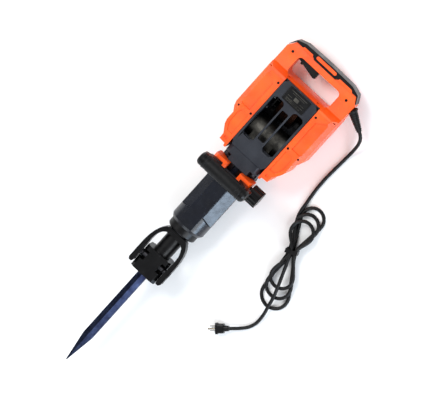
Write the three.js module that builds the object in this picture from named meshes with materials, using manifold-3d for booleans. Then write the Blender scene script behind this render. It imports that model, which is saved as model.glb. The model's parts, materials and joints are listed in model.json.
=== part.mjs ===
// Electric demolition hammer, lying on its back: +Y runs to the rear handle, -Y to the chisel's point,
// +Z is the front of the tool. Millimetres. Shapes are drawn in the tool's own frame, whose Y axis is the
// hammer's axis, and one group lifts that frame off the floor.
import * as THREE from "three";
import { mergeVertices } from "three/addons/utils/BufferGeometryUtils.js";
import Module from "manifold-3d";

const wasm = await Module();
wasm.setup();

// ---- driving dimensions -----------------------------------------------------------------------------
const AXIS_HEIGHT = 62; // the hammer's axis above the floor
const GAP = 0.3; // between pieces that touch
const WALL = 4; // of the plastic shells

const HEX_FLATS = 28.6; // 1-1/8 inch chisel shank, across flats
const CHISEL_TIP = -529;
const CHISEL_LENGTH = 406; // 16 inches
const CHISEL_TAPER = 88;

const HALF_WIDTH = 118; // of the orange body
const CASE_HALF = 57; // of the grey middle
const CASE_TOP = 432;
const CASE_BOTTOM = 247;
const PANEL_BACK = 50.3; // the inner face of the front and back panels
const PANEL_FACE = 62;
const PANEL_BOTTOM = 210;
const NECK_BOTTOM = 172.3;

const MOTOR_Y = 372;
const MODULE_1 = 2; // motor pinion and idler wheel
const MODULE_2 = 2.5; // idler pinion and crank wheel
const PINION_TEETH = 9;
const IDLER_TEETH = 31;
const IDLER_PINION_TEETH = 10;
const CRANK_TEETH = 31;
const IDLER_Y = MOTOR_Y - (MODULE_1 * (PINION_TEETH + IDLER_TEETH)) / 2;
const CRANK_Y = IDLER_Y - (MODULE_2 * (IDLER_PINION_TEETH + CRANK_TEETH)) / 2;

const CRANK_RADIUS = 16; // half the piston's stroke
const ROD_LENGTH = 90;
const WRIST_Y = CRANK_Y + CRANK_RADIUS - ROD_LENGTH;
const BORE = 27; // radius of the hammer cylinder

const BARREL_TOP = 172;
const BARREL_BOTTOM = -45;
const BARREL_RADIUS = 51;
const CLAMP_SEAT = 118; // the barrel is round above this, for the side handle's clamp
const NOSE_BOTTOM = -67;
const SLEEVE_RADIUS = 25.5;
const BLOCK_TOP = -142;
const BLOCK_BOTTOM = -214;
const LATCH_Y = -170;
const LATCH_Z = 20;
const LATCH_RADIUS = 8;
const LATCH_SWING = 115; // degrees that the bail turns to free the chisel

const CLAMP_Y = 150; // middle of the side handle
const CLAMP_RADIUS = 56.5;
const CLAMP_BOLT_Z = 66;
const GRIP_Z = 162;
const GRIP_RADIUS = 19.5;

const CORD = 9.5; // diameter

// ---- helpers ----------------------------------------------------------------------------------------
function signedVolume(position, index) {
  let total = 0;
  const [a, b, c] = [new THREE.Vector3(), new THREE.Vector3(), new THREE.Vector3()];
  for (let i = 0; i < index.length; i += 3) {
    a.fromArray(position, 3 * index[i]);
    b.fromArray(position, 3 * index[i + 1]);
    c.fromArray(position, 3 * index[i + 2]);
    total += a.dot(b.cross(c));
  }
  return total;
}

/** A closed three.js geometry as a manifold solid with its faces pointing out. */
function solid(geometry) {
  const bare = geometry.clone();
  bare.deleteAttribute("normal");
  bare.deleteAttribute("uv");
  const merged = mergeVertices(bare, 1e-4);
  const all = Array.from(merged.index.array);
  const kept = [];
  for (let i = 0; i < all.length; i += 3) {
    const [a, b, c] = all.slice(i, i + 3);
    if (a !== b && b !== c && c !== a) kept.push(a, b, c);
  }
  const position = merged.attributes.position.array;
  if (signedVolume(position, kept) < 0) kept.reverse();
  const options = { numProp: 3, vertProperties: new Float32Array(position), triVerts: new Uint32Array(kept) };
  return new wasm.Manifold(new wasm.Mesh(options));
}

function join(...solids) {
  return solids.reduce((whole, next) => whole.add(next));
}

function cut(whole, ...solids) {
  return solids.reduce((rest, next) => rest.subtract(next), whole);
}

function box(x0, x1, y0, y1, z0, z1) {
  const g = new THREE.BoxGeometry(x1 - x0, y1 - y0, z1 - z0);
  return solid(g.translate((x0 + x1) / 2, (y0 + y1) / 2, (z0 + z1) / 2));
}

function shapeOf(outline) {
  return Array.isArray(outline) ? new THREE.Shape(outline.map(([x, y]) => new THREE.Vector2(x, y))) : outline;
}

function extruded(outline, low, high) {
  const options = { depth: high - low, bevelEnabled: false, curveSegments: 4 };
  return new THREE.ExtrudeGeometry(shapeOf(outline), options).translate(0, 0, low);
}

/** An outline in X and Y, from low to high along Z. */
function plateZ(outline, low, high) {
  return solid(extruded(outline, low, high));
}

/** An outline in Y and Z, from low to high along X. */
function plateX(outline, low, high) {
  const turn = new THREE.Matrix4().makeBasis(
    new THREE.Vector3(0, 1, 0),
    new THREE.Vector3(0, 0, 1),
    new THREE.Vector3(1, 0, 0),
  );
  return solid(extruded(outline, low, high).applyMatrix4(turn));
}

/** An outline in X and Z, from low to high along Y. */
function plateY(outline, low, high) {
  const swapped = outline.map(([x, z]) => [z, x]);
  const turn = new THREE.Matrix4().makeBasis(
    new THREE.Vector3(0, 0, 1),
    new THREE.Vector3(1, 0, 0),
    new THREE.Vector3(0, 1, 0),
  );
  return solid(extruded(swapped, low, high).applyMatrix4(turn));
}

/** A turned solid about the Y axis, from [radius, y] points that start and end on the axis or close. */
function turnedY(profile, sides = 32) {
  return solid(new THREE.LatheGeometry(profile.map(([r, y]) => new THREE.Vector2(r, y)), sides));
}

/** A turned solid about the X axis through a point, from [radius, x] points. */
function turnedX(profile, y, z, sides = 24) {
  const g = new THREE.LatheGeometry(profile.map(([r, x]) => new THREE.Vector2(r, x)), sides);
  return solid(g.rotateZ(-Math.PI / 2).translate(0, y, z));
}

function rod(radius, low, high) {
  return [
    [0, low],
    [radius, low],
    [radius, high],
    [0, high],
  ];
}

function ring(inner, outer, low, high) {
  return [
    [inner, low],
    [outer, low],
    [outer, high],
    [inner, high],
    [inner, low],
  ];
}

/** A rectangle with round corners. */
function rounded(x0, y0, x1, y1, r) {
  const s = new THREE.Shape();
  s.absarc(x1 - r, y1 - r, r, 0, Math.PI / 2);
  s.absarc(x0 + r, y1 - r, r, Math.PI / 2, Math.PI);
  s.absarc(x0 + r, y0 + r, r, Math.PI, 1.5 * Math.PI);
  s.absarc(x1 - r, y0 + r, r, 1.5 * Math.PI, 2 * Math.PI);
  return s;
}

/** A rectangle with its corners cut off. */
function chamfered(x0, y0, x1, y1, c) {
  return [
    [x0 + c, y0],
    [x1 - c, y0],
    [x1, y0 + c],
    [x1, y1 - c],
    [x1 - c, y1],
    [x0 + c, y1],
    [x0, y1 - c],
    [x0, y0 + c],
  ];
}

/** A counter-clockwise polygon moved inward by a distance. */
function inset(points, distance) {
  const edges = points.map((p, i) => {
    const q = points[(i + 1) % points.length];
    const length = Math.hypot(q[0] - p[0], q[1] - p[1]);
    const [dx, dy] = [(q[0] - p[0]) / length, (q[1] - p[1]) / length];
    return { x: p[0] - dy * distance, y: p[1] + dx * distance, dx, dy };
  });
  return edges.map((b, i) => {
    const a = edges[(i + edges.length - 1) % edges.length];
    const t = ((b.x - a.x) * b.dy - (b.y - a.y) * b.dx) / (a.dx * b.dy - a.dy * b.dx);
    return [a.x + a.dx * t, a.y + a.dy * t];
  });
}

function mirroredX(points) {
  return points.map(([x, y]) => [-x, y]).reverse();
}

// ---- materials --------------------------------------------------------------------------------------
function paint(color, roughness, metalness = 0) {
  return new THREE.MeshStandardMaterial({ color, roughness, metalness });
}
const ORANGE = paint(0xf26a22, 0.42);
const GREY = paint(0x3c3e44, 0.55);
const BLACK = paint(0x17181b, 0.6);
const RUBBER = paint(0x101012, 0.85);
const BARREL_PAINT = paint(0x181c26, 0.4, 0.4);
const CASTING = paint(0x8a8a86, 0.45, 0.8);
const STEEL = paint(0x9a9ca0, 0.32, 1);
const TOOL_STEEL = paint(0x232a44, 0.35, 0.9);
const COPPER = paint(0x9a5a32, 0.4, 0.9);
const CARBON = paint(0x202020, 0.8);
const BRASS = paint(0xc2a25a, 0.35, 1);

const tool = new THREE.Group();
tool.position.z = AXIS_HEIGHT;
const jackhammer = new THREE.Group();
jackhammer.add(tool);

/** Adds a solid drawn in the tool's frame as a named mesh whose own origin is the given point. */
function piece(name, shape, material, origin = [0, 0, 0], group = tool) {
  const { vertProperties, triVerts } = shape.getMesh();
  const geometry = new THREE.BufferGeometry();
  geometry.setAttribute("position", new THREE.BufferAttribute(new Float32Array(vertProperties), 3));
  geometry.setIndex(new THREE.BufferAttribute(new Uint32Array(triVerts), 1));
  geometry.translate(-origin[0], -origin[1], -origin[2]);
  const mesh = new THREE.Mesh(geometry, material);
  mesh.name = name;
  mesh.position.set(...origin);
  group.add(mesh);
}

// ---- gears ------------------------------------------------------------------------------------------
const PRESSURE = (20 * Math.PI) / 180;
const ADDENDUM = 0.8; // stub teeth, in modules
const DEDENDUM = 1.05;
const BACKLASH = 0.35; // mm off each tooth's thickness at the pitch circle

/** A gear's outline in Y and Z about its own axis, with the middle of one tooth at the given angle. */
function gearOutline(teeth, module, toothAngle) {
  const pitch = (module * teeth) / 2;
  const base = pitch * Math.cos(PRESSURE);
  const tip = pitch + ADDENDUM * module;
  const root = pitch - DEDENDUM * module;
  const involute = (r) => {
    const alpha = Math.acos(Math.min(1, base / r));
    return Math.tan(alpha) - alpha;
  };
  const half = Math.PI / (2 * teeth) - BACKLASH / (2 * pitch);
  const flank = (r) => half + involute(pitch) - involute(Math.max(r, base));
  const start = Math.max(root, base);
  const radii = [0, 0.5, 1].map((t) => start + t * (tip - start));
  const points = [];
  for (let tooth = 0; tooth < teeth; tooth += 1) {
    const middle = toothAngle + (tooth * 2 * Math.PI) / teeth;
    const side = radii.map((r) => [r, flank(r)]);
    if (root < base) side.unshift([root, flank(base) * 0.8]);
    const rising = side.map(([r, a]) => [r, middle - a]);
    const falling = side.map(([r, a]) => [r, middle + a]).reverse();
    for (const [r, a] of [...rising, ...falling]) points.push([r * Math.cos(a), r * Math.sin(a)]);
  }
  return points;
}

function gear(teeth, module, toothAngle, y, low, high) {
  return plateX(gearOutline(teeth, module, toothAngle), low, high).translate(0, y, 0);
}

const MESH_DOWN = Math.PI; // the direction -Y in the outlines' own frame
const gapUp = (teeth) => Math.PI / teeth; // puts a gap, not a tooth, at +Y

// ---- grey middle: motor case, panels, neck ----------------------------------------------------------
function motorCase() {
  const frame = cut(
    box(-CASE_HALF, CASE_HALF, CASE_BOTTOM + GAP, CASE_TOP, -50, 50),
    box(-CASE_HALF + WALL, CASE_HALF - WALL, CASE_BOTTOM + WALL, CASE_TOP - WALL, -51, 51),
  );
  return cut(
    frame,
    turnedX(rod(14 + GAP, -60, 60), MOTOR_Y, 0),
    turnedX(rod(9, -60, -50), IDLER_Y, 0),
    turnedX(rod(25, -60, -50), CRANK_Y, 0),
    box(-50.5, 50.5, 240, 260, -36.5, 36.5),
  );
}

const SIDE_WINDOW = chamfered(15.6, 249, 51, 381, 7);
const MIDDLE_WINDOW = chamfered(-11, 266, 11, 364, 3);

function frontPanel() {
  const outline = [
    [-50, PANEL_BOTTOM],
    [50, PANEL_BOTTOM],
    [CASE_HALF, PANEL_BOTTOM + 12],
    [CASE_HALF, CASE_TOP - 10],
    [46, CASE_TOP],
    [-46, CASE_TOP],
    [-CASE_HALF, CASE_TOP - 10],
    [-CASE_HALF, PANEL_BOTTOM + 12],
  ];
  return cut(
    plateZ(outline, PANEL_BACK, PANEL_FACE),
    plateZ(SIDE_WINDOW, PANEL_BACK - 1, PANEL_FACE + 1),
    plateZ(mirroredX(SIDE_WINDOW), PANEL_BACK - 1, PANEL_FACE + 1),
    plateZ(MIDDLE_WINDOW, PANEL_BACK - 1, PANEL_FACE + 1),
  );
}

const BACK_VENTS = 6;
const VENT_PITCH = 12;
const FIRST_VENT = 345;

function backPanel() {
  const plate = plateZ(chamfered(-CASE_HALF, PANEL_BOTTOM, CASE_HALF, CASE_TOP, 8), -PANEL_FACE, -PANEL_BACK);
  const slots = Array.from({ length: BACK_VENTS }, (_, i) => {
    const y = FIRST_VENT + i * VENT_PITCH;
    return box(-36, 36, y, y + 5, -PANEL_FACE - 1, -PANEL_BACK + 1);
  });
  return cut(plate, ...slots);
}

const NECK_BOLT_X = 43;
const NECK_BOLT_Z = 42;

function neck() {
  const lower = plateY(chamfered(-54, -58, 54, 58, 12), NECK_BOTTOM, PANEL_BOTTOM - GAP);
  const upper = plateY(chamfered(-54, -50, 54, 50, 6), PANEL_BOTTOM - 2, CASE_BOTTOM - GAP);
  const pockets = [-1, 1].flatMap((s) => [
    box(Math.min(s * 33, s * 60), Math.max(s * 33, s * 60), 170, 187, 32, 70),
    turnedY(rod(4.4, 180, 232), 16).translate(s * NECK_BOLT_X, 0, NECK_BOLT_Z),
  ]);
  return cut(join(lower, upper), turnedY(rod(32 + GAP, 160, 260)), ...pockets);
}

function neckBolt(side) {
  const head = turnedY(rod(7, 178, 186.6), 6);
  return join(head, turnedY(rod(4, 186, 230), 16)).translate(side * NECK_BOLT_X, 0, NECK_BOLT_Z);
}

piece("motor_case", motorCase(), GREY);
piece("front_panel", frontPanel(), GREY);
piece("back_panel", backPanel(), GREY);
piece("nameplate", plateZ(chamfered(-35, 387, 35, 428, 2), PANEL_FACE + GAP, PANEL_FACE + 2), BLACK);
piece("neck", neck(), GREY);
piece("neck_bolt_left", neckBolt(-1), STEEL);
piece("neck_bolt_right", neckBolt(1), STEEL);

// ---- orange side covers -----------------------------------------------------------------------------
const COVER_TOP = 421.7;
const COVER_IN = CASE_HALF + 1.3;
const COVER_OUTLINE = [
  [COVER_IN, 190],
  [64, 190],
  [66, 197],
  [84, 198],
  [85, 214],
  [93, 226],
  [99.5, 236],
  [103, 248],
  [103, 272],
  [114, 286],
  [HALF_WIDTH, 298],
  [HALF_WIDTH, COVER_TOP],
  [COVER_IN, COVER_TOP],
];
const COVER_SECTION = [
  [40, -58],
  [102, -58],
  [HALF_WIDTH, -42],
  [HALF_WIDTH, 42],
  [102, 58],
  [40, 58],
];

function cover() {
  const outer = plateZ(COVER_OUTLINE, -58, 58).intersect(plateY(COVER_SECTION, 180, 430));
  const inside = COVER_IN - 2 * WALL;
  const wallPoints = [3, 4, 6, 8, 10, 11].map((i) => COVER_OUTLINE[i]);
  const open = [[inside, 198], ...wallPoints, [inside, COVER_TOP]];
  const inner = plateZ(inset(open, WALL), -54, 54).intersect(plateY(inset(COVER_SECTION, WALL), 180, 430));
  return cut(outer, inner);
}

piece("right_cover", cover(), ORANGE);
piece("left_cover", cover().mirror([1, 0, 0]), ORANGE);

// ---- rear handle ------------------------------------------------------------------------------------
const BAR_TOP = 513.7;
const HAND_LEFT = -74;
const HAND_RIGHT = 70;
const HAND_BOTTOM = 439;
const HAND_TOP = 493;
const HANDLE_BOTTOM = 422;
const HANDLE_OUTLINE = [
  [-HALF_WIDTH, HANDLE_BOTTOM],
  [-COVER_IN, HANDLE_BOTTOM],
  [-COVER_IN, CASE_TOP + GAP],
  [COVER_IN, CASE_TOP + GAP],
  [COVER_IN, HANDLE_BOTTOM],
  [HALF_WIDTH, HANDLE_BOTTOM],
  [HALF_WIDTH, 492],
  [104, BAR_TOP],
  [-104, BAR_TOP],
  [-HALF_WIDTH, 492],
];
// Half of the handle's side view: [y, depth].
const HANDLE_DEPTH = [
  [HANDLE_BOTTOM - 1, 0.15],
  [BAR_TOP + 1, 0.15],
  [BAR_TOP + 1, 22],
  [500, 26],
  [470, 26],
  [442, 30],
  [430, 56],
  [HANDLE_BOTTOM - 1, 58],
];

function handleShell() {
  const hand = rounded(HAND_LEFT, HAND_BOTTOM, HAND_RIGHT, HAND_TOP, 12);
  const lip = rounded(HAND_LEFT - WALL, HAND_BOTTOM - WALL, HAND_RIGHT + WALL, HAND_TOP + WALL, 15);
  const outer = plateZ(HANDLE_OUTLINE, 0.15, 58).intersect(plateX(HANDLE_DEPTH, -120, 120));
  const deep = inset(HANDLE_DEPTH, WALL).map(([y, z]) => [y, z < 10 ? -1 : z]);
  const inner = cut(
    plateZ(inset(HANDLE_OUTLINE, WALL), -1, 58).intersect(plateX(deep, -120, 120)),
    plateZ(lip, -2, 60),
  );
  const slot = box(-77.5, -6.5, 479, 500, -10.5, 10.5);
  return cut(outer, plateZ(hand, -2, 60), inner, slot);
}

const GUARD_OUTLINE = [
  [-115.8, 497],
  [-104.6, BAR_TOP + GAP],
  [104.6, BAR_TOP + GAP],
  [115.8, 497],
  [117.8, 497],
  [106, 519],
  [80, 527.5],
  [0, 529],
  [-80, 527.5],
  [-106, 519],
  [-117.8, 497],
];
const TRIGGER_PIVOT = [-71, 493, 0];
const TRIGGER_OUTLINE = [
  [-76, 500],
  [-76, 484],
  [-70, 482],
  [-14, 469],
  [-8, 471],
  [-8, 500],
];
const LOCK_X = -60;

piece("handle_front_shell", handleShell(), ORANGE);
piece("handle_back_shell", handleShell().mirror([0, 0, 1]), ORANGE);
piece("handle_guard", plateZ(GUARD_OUTLINE, -27, 27), BLACK);
piece("handle_badge", plateZ(chamfered(-39, 516, 29, 525.5, 3), 27 + GAP, 29), ORANGE);
const triggerPocket = turnedY(rod(4.4, 465, 492), 20).translate(LOCK_X, 0, 0);
piece("trigger", cut(plateZ(TRIGGER_OUTLINE, -9.5, 9.5), triggerPocket), BLACK, TRIGGER_PIVOT);
piece("lock_button", turnedY(rod(4, 475, 487), 20).translate(LOCK_X, 0, 0), BLACK, [LOCK_X, 475, 0]);
piece("switch_body", box(2, 48, 498, 509, -9, 9), BLACK);

// ---- motor ------------------------------------------------------------------------------------------
const SHAFT = 6;

function armature() {
  const profile = [
    [0, -73],
    [SHAFT, -73],
    [SHAFT, -26],
    [32, -26],
    [32, 26],
    [SHAFT, 26],
    [SHAFT, 32],
    [16, 32],
    [16, 46],
    [SHAFT, 46],
    [SHAFT, 58],
    [0, 58],
  ];
  const pinion = gear(PINION_TEETH, MODULE_1, MESH_DOWN, MOTOR_Y, -72, -60);
  return join(turnedX(profile, MOTOR_Y, 0), pinion);
}

function coolingFan() {
  const disc = turnedX(ring(SHAFT + GAP, 40, -43, -40), MOTOR_Y, 0);
  const hub = turnedX(ring(SHAFT + GAP, 12, -41, -32), MOTOR_Y, 0);
  const blades = Array.from({ length: 12 }, (_, i) => {
    const blade = new THREE.BoxGeometry(9, 28, 1.6).translate(-36.5, 25, 0);
    return solid(blade.rotateX((i * Math.PI) / 6).translate(0, MOTOR_Y, 0));
  });
  return join(disc, hub, ...blades);
}

piece("stator", turnedX(ring(33, 45, -28, 28), MOTOR_Y, 0), COPPER, [0, MOTOR_Y, 0]);
piece("armature", armature(), COPPER, [0, MOTOR_Y, 0]);
piece("cooling_fan", coolingFan(), BLACK, [0, MOTOR_Y, 0]);
for (const [name, side] of [["motor_bearing_left", -1], ["motor_bearing_right", 1]]) {
  const low = side < 0 ? -56.5 : 49.5;
  piece(name, turnedX(ring(SHAFT + GAP, 14, low, low + 7), MOTOR_Y, 0), STEEL, [0, MOTOR_Y, 0]);
}
for (const [name, side] of [["carbon_brush_upper", 1], ["carbon_brush_lower", -1]]) {
  const [low, high] = side > 0 ? [16.4, 30] : [-30, -16.4];
  piece(name, box(35, 43, MOTOR_Y + low, MOTOR_Y + high, -5, 5), CARBON);
}

// ---- gear train and crank ---------------------------------------------------------------------------
function idlerGear() {
  return join(
    turnedX(rod(5, -90, -50), IDLER_Y, 0),
    gear(IDLER_TEETH, MODULE_1, gapUp(IDLER_TEETH), IDLER_Y, -72, -60),
    gear(IDLER_PINION_TEETH, MODULE_2, MESH_DOWN, IDLER_Y, -89, -74),
  );
}

function crankGear() {
  const wheel = gear(CRANK_TEETH, MODULE_2, gapUp(CRANK_TEETH), CRANK_Y, -88, -75);
  return cut(wheel, turnedX(rod(9 + GAP, -90, -70), CRANK_Y, 0));
}

function crankshaft() {
  return join(
    turnedX(rod(9, -89, -20), CRANK_Y, 0),
    turnedX(rod(24, -22, -10), CRANK_Y, 0),
    turnedX(rod(6.5, -11, -7.6), CRANK_Y + CRANK_RADIUS, 0),
  );
}

function crankcase() {
  const body = join(
    turnedX(rod(36, -50, 50), CRANK_Y, 0, 48),
    turnedX(rod(24.5, -58, -49), CRANK_Y, 0),
    box(-34.6, 34.6, CASE_BOTTOM + 0.1, CRANK_Y, -34.6, 34.6),
  );
  return cut(
    body,
    turnedX(rod(32.6, -46, 46), CRANK_Y, 0, 48),
    box(-16, 16, 240, CRANK_Y, -28, 28),
    turnedX(rod(9.5, -60, -40), CRANK_Y, 0),
    turnedX(rod(20 + GAP, -60, -50.5), CRANK_Y, 0),
    box(-60, 60, 200, CASE_BOTTOM + 0.1, -60, 60),
  );
}

function gearCaseCover() {
  const outer = plateX(rounded(236, -45, 388, 45, 30), -93.5, -58.6);
  const inner = plateX(rounded(239, -42, 385, 42, 27), -90.5, -50);
  return cut(outer, inner);
}

function connectingRod() {
  const top = WRIST_Y + ROD_LENGTH;
  const body = join(
    turnedX(rod(9, -7, 7), WRIST_Y, 0),
    turnedX(rod(10.3, -7, 7), top, 0),
    box(-4, 4, WRIST_Y, top, -5, 5),
  );
  return cut(body, turnedX(rod(5 + GAP, -9, 9), WRIST_Y, 0), turnedX(rod(6.8, -9, 9), top, 0));
}

piece("idler_gear", idlerGear(), STEEL, [0, IDLER_Y, 0]);
piece("crank_gear", crankGear(), STEEL, [0, CRANK_Y, 0]);
piece("crankshaft", crankshaft(), STEEL, [0, CRANK_Y, 0]);
piece("crank_bearing", turnedX(ring(9 + GAP, 20, -58, -51), CRANK_Y, 0), STEEL, [0, CRANK_Y, 0]);
piece("crankcase", crankcase(), CASTING, [0, CRANK_Y, 0]);
piece("gear_case_cover", gearCaseCover(), CASTING);
piece("connecting_rod", connectingRod(), STEEL, [0, WRIST_Y, 0]);

// ---- hammer cylinder --------------------------------------------------------------------------------
const PISTON_RADIUS = BORE - 0.4;

function piston() {
  const cup = [
    [0, WRIST_Y - 26],
    [PISTON_RADIUS, WRIST_Y - 26],
    [PISTON_RADIUS, WRIST_Y + 21],
    [20, WRIST_Y + 21],
    [20, WRIST_Y - 13],
    [0, WRIST_Y - 13],
  ];
  return cut(turnedY(cup), turnedX(rod(5 + GAP, -30, 30), WRIST_Y, 0));
}

const RAM_TOP = 135;
const RAM_GROOVE = 120;

function ram() {
  return turnedY([
    [0, 65],
    [16, 65],
    [20, 70],
    [PISTON_RADIUS, 76],
    [PISTON_RADIUS, RAM_GROOVE - 2],
    [23.6, RAM_GROOVE - 2],
    [23.6, RAM_GROOVE + 2],
    [PISTON_RADIUS, RAM_GROOVE + 2],
    [PISTON_RADIUS, RAM_TOP],
    [0, RAM_TOP],
  ]);
}

function sealRing() {
  const section = Array.from({ length: 9 }, (_, i) => {
    const a = (i * Math.PI) / 4;
    return [25.3 + 1.3 * Math.cos(a), RAM_GROOVE + 1.3 * Math.sin(a)];
  });
  return turnedY(section);
}

function impactBolt() {
  return turnedY([
    [0, -112],
    [12, -112],
    [13.5, -109],
    [13.5, -12],
    [24, -4],
    [24, 22],
    [18, 30],
    [0, 30],
  ]);
}

piece("cylinder_liner", turnedY(ring(BORE, 32, -40, 236)), STEEL);
piece("piston", piston(), CASTING, [0, WRIST_Y, 0]);
piece("wrist_pin", turnedX(rod(5, -24, 24), WRIST_Y, 0), STEEL, [0, WRIST_Y, 0]);
piece("ram", ram(), STEEL);
piece("ram_seal", sealRing(), RUBBER);
piece("impact_bolt", impactBolt(), STEEL);
piece("front_damper", turnedY(ring(15, BORE - GAP, -38, -24)), RUBBER);

// ---- barrel and nose --------------------------------------------------------------------------------
const SPINE_HALF = 22;
const POCKET_TOP = 112;
const POCKET_BOTTOM = -6;

function barrel() {
  const body = join(
    turnedY(
      [
        [0, BARREL_BOTTOM],
        [46, BARREL_BOTTOM],
        [BARREL_RADIUS, BARREL_BOTTOM + 8],
        [BARREL_RADIUS, CLAMP_SEAT],
        [50, CLAMP_SEAT + 1],
        [50, BARREL_TOP],
        [0, BARREL_TOP],
      ],
      56,
    ),
    box(-SPINE_HALF, SPINE_HALF, BARREL_BOTTOM + 10, CLAMP_SEAT, 30, 57),
    box(-22, 22, BARREL_BOTTOM + 10, CLAMP_SEAT, -AXIS_HEIGHT, -30),
  );
  const floorPlan = [
    [SPINE_HALF, POCKET_BOTTOM + 14],
    [60, POCKET_BOTTOM],
    [60, POCKET_TOP],
    [SPINE_HALF, POCKET_TOP],
  ];
  const endView = [
    [SPINE_HALF, 33],
    [50, 10],
    [60, 10],
    [60, 70],
    [SPINE_HALF, 70],
  ];
  const pocket = plateZ(floorPlan, 5, 75).intersect(plateY(endView, POCKET_BOTTOM - 1, POCKET_TOP + 1));
  return cut(
    body,
    pocket,
    pocket.mirror([1, 0, 0]),
    turnedY(rod(32 + GAP, -41, 180)),
    turnedY(rod(28, -50, -30)),
  );
}

function noseFlange() {
  return turnedY([
    [15, BARREL_BOTTOM - GAP],
    [43, BARREL_BOTTOM - GAP],
    [43, NOSE_BOTTOM + 4],
    [40, NOSE_BOTTOM],
    [15, NOSE_BOTTOM],
    [15, BARREL_BOTTOM - GAP],
  ]);
}

function hexRod(flats, low, high) {
  const corner = flats / Math.sqrt(3);
  return solid(new THREE.CylinderGeometry(corner, corner, high - low, 6).translate(0, (low + high) / 2, 0));
}

const HEX_BORE_TOP = -116;
const PIN_WINDOW = [22, 34]; // where the latch pin shows beside the sleeve

function toolHolder() {
  const body = join(
    turnedY(rod(SLEEVE_RADIUS, BLOCK_BOTTOM + 2, NOSE_BOTTOM - GAP)),
    plateY(chamfered(-40, -27, 40, 33, 8), BLOCK_BOTTOM, BLOCK_TOP),
  );
  const [low, high] = PIN_WINDOW;
  return cut(
    body,
    turnedY(rod(14.3, HEX_BORE_TOP - 1, -60)),
    hexRod(HEX_FLATS + 0.8, BLOCK_BOTTOM - 1, HEX_BORE_TOP),
    turnedX(rod(LATCH_RADIUS + 0.4, -50, 50), LATCH_Y, LATCH_Z),
    box(low, high, LATCH_Y - 14, LATCH_Y + 14, 13, 40),
    box(-high, -low, LATCH_Y - 14, LATCH_Y + 14, 13, 40),
  );
}

const LATCH_FLAT = 3.3; // the flat's distance from the pin's middle

function latchPin() {
  const pin = turnedX(rod(LATCH_RADIUS, -57, 57), 0, 0);
  const flat = new THREE.BoxGeometry(42, 20, 20).translate(0, 0, -10 - LATCH_FLAT);
  const turned = solid(flat.rotateX((-LATCH_SWING * Math.PI) / 180));
  return cut(pin, turned).translate(0, LATCH_Y, LATCH_Z);
}

function retainerBail() {
  const half = [
    [0, -69],
    [-27, -69],
    [-34, -73],
    [-40, -80],
    [-46, -90],
    [-51, -104],
    [-54.5, -122],
    [-56, -140],
    [-56, -165],
    [-56, -200],
    [-52, -206],
    [-44, -206],
    [-41.5, -200],
    [-43.5, -130],
    [-42, -112],
    [-38, -100],
    [-33, -91],
    [-26, -85],
    [0, -83],
  ];
  const outline = [...half, ...half.slice(1, -1).map(([x, y]) => [-x, y]).reverse()];
  return cut(
    plateZ(outline, 6, 36),
    turnedY(rod(SLEEVE_RADIUS + 2, -120, -60)),
    turnedX(rod(LATCH_RADIUS + GAP, -60, 60), LATCH_Y, LATCH_Z),
  );
}

function chisel() {
  const taperTop = CHISEL_TIP + CHISEL_TAPER;
  const corner = HEX_FLATS / Math.sqrt(3);
  const point = new THREE.CylinderGeometry(corner, 1.6, CHISEL_TAPER, 6);
  const notch = box(-20, 20, LATCH_Y - 9, LATCH_Y + 22, LATCH_Z - LATCH_RADIUS - 0.5, 20);
  const shank = hexRod(HEX_FLATS, taperTop, CHISEL_TIP + CHISEL_LENGTH);
  return cut(join(shank, solid(point.translate(0, taperTop - CHISEL_TAPER / 2, 0))), notch);
}

piece("barrel", barrel(), BARREL_PAINT);
piece("nose_flange", noseFlange(), BLACK);
piece("tool_holder", toolHolder(), BLACK);
piece("retainer_bail", retainerBail(), BLACK, [0, LATCH_Y, LATCH_Z]);
piece("latch_pin", latchPin(), STEEL, [0, LATCH_Y, LATCH_Z]);
piece("chisel", chisel(), TOOL_STEEL);

// ---- side handle ------------------------------------------------------------------------------------
const CLAMP_HALF = 21; // half the clamp's width along the barrel
const BLOCK_Z = 85;

function clampRing() {
  const band = turnedY(ring(50.4, CLAMP_RADIUS, CLAMP_Y - CLAMP_HALF, CLAMP_Y + CLAMP_HALF), 56);
  return cut(band, box(-8, 8, CLAMP_Y - 30, CLAMP_Y + 30, 40, 70));
}

function clampBlock() {
  const section = [
    [20, 40],
    [60, 20],
    [63, 30],
    [63, BLOCK_Z - 9],
    [56, BLOCK_Z],
    [25, BLOCK_Z],
    [20, BLOCK_Z - 5],
  ];
  return cut(
    plateY(section, CLAMP_Y - CLAMP_HALF, CLAMP_Y + CLAMP_HALF),
    turnedY(rod(CLAMP_RADIUS + GAP, 100, 200), 56),
    turnedX(rod(4 + 2 * GAP, 0, 80), CLAMP_Y, CLAMP_BOLT_Z),
  );
}

const GRIP_HALF = 62;
const FRAME_HALF = 80;

function sideHandleFrame() {
  const cap = (s) =>
    turnedX(
      [
        [0, s * (GRIP_HALF + GAP)],
        [18.5, s * (GRIP_HALF + GAP)],
        [18.5, s * (FRAME_HALF - 8)],
        [14.5, s * (FRAME_HALF - 2)],
        [8, s * FRAME_HALF],
        [0, s * FRAME_HALF],
      ],
      CLAMP_Y,
      GRIP_Z,
    );
  const arm = [
    [31, BLOCK_Z + GAP],
    [56, BLOCK_Z + GAP],
    [79, 118],
    [79, GRIP_Z],
    [GRIP_HALF + 1, GRIP_Z],
    [GRIP_HALF + 1, 128],
  ];
  return join(
    turnedX(rod(9, -70, 70), CLAMP_Y, GRIP_Z),
    cap(1),
    cap(-1),
    plateY(arm, CLAMP_Y - 12, CLAMP_Y + 12),
    plateY(mirroredX(arm), CLAMP_Y - 12, CLAMP_Y + 12),
  );
}

function clampBolt() {
  return join(
    turnedX(rod(4, -66, 92), CLAMP_Y, CLAMP_BOLT_Z, 20),
    turnedX(rod(7.5, -69.5, -63.4), CLAMP_Y, CLAMP_BOLT_Z, 6),
  );
}

const KNOB_LOBES = 14;

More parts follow.
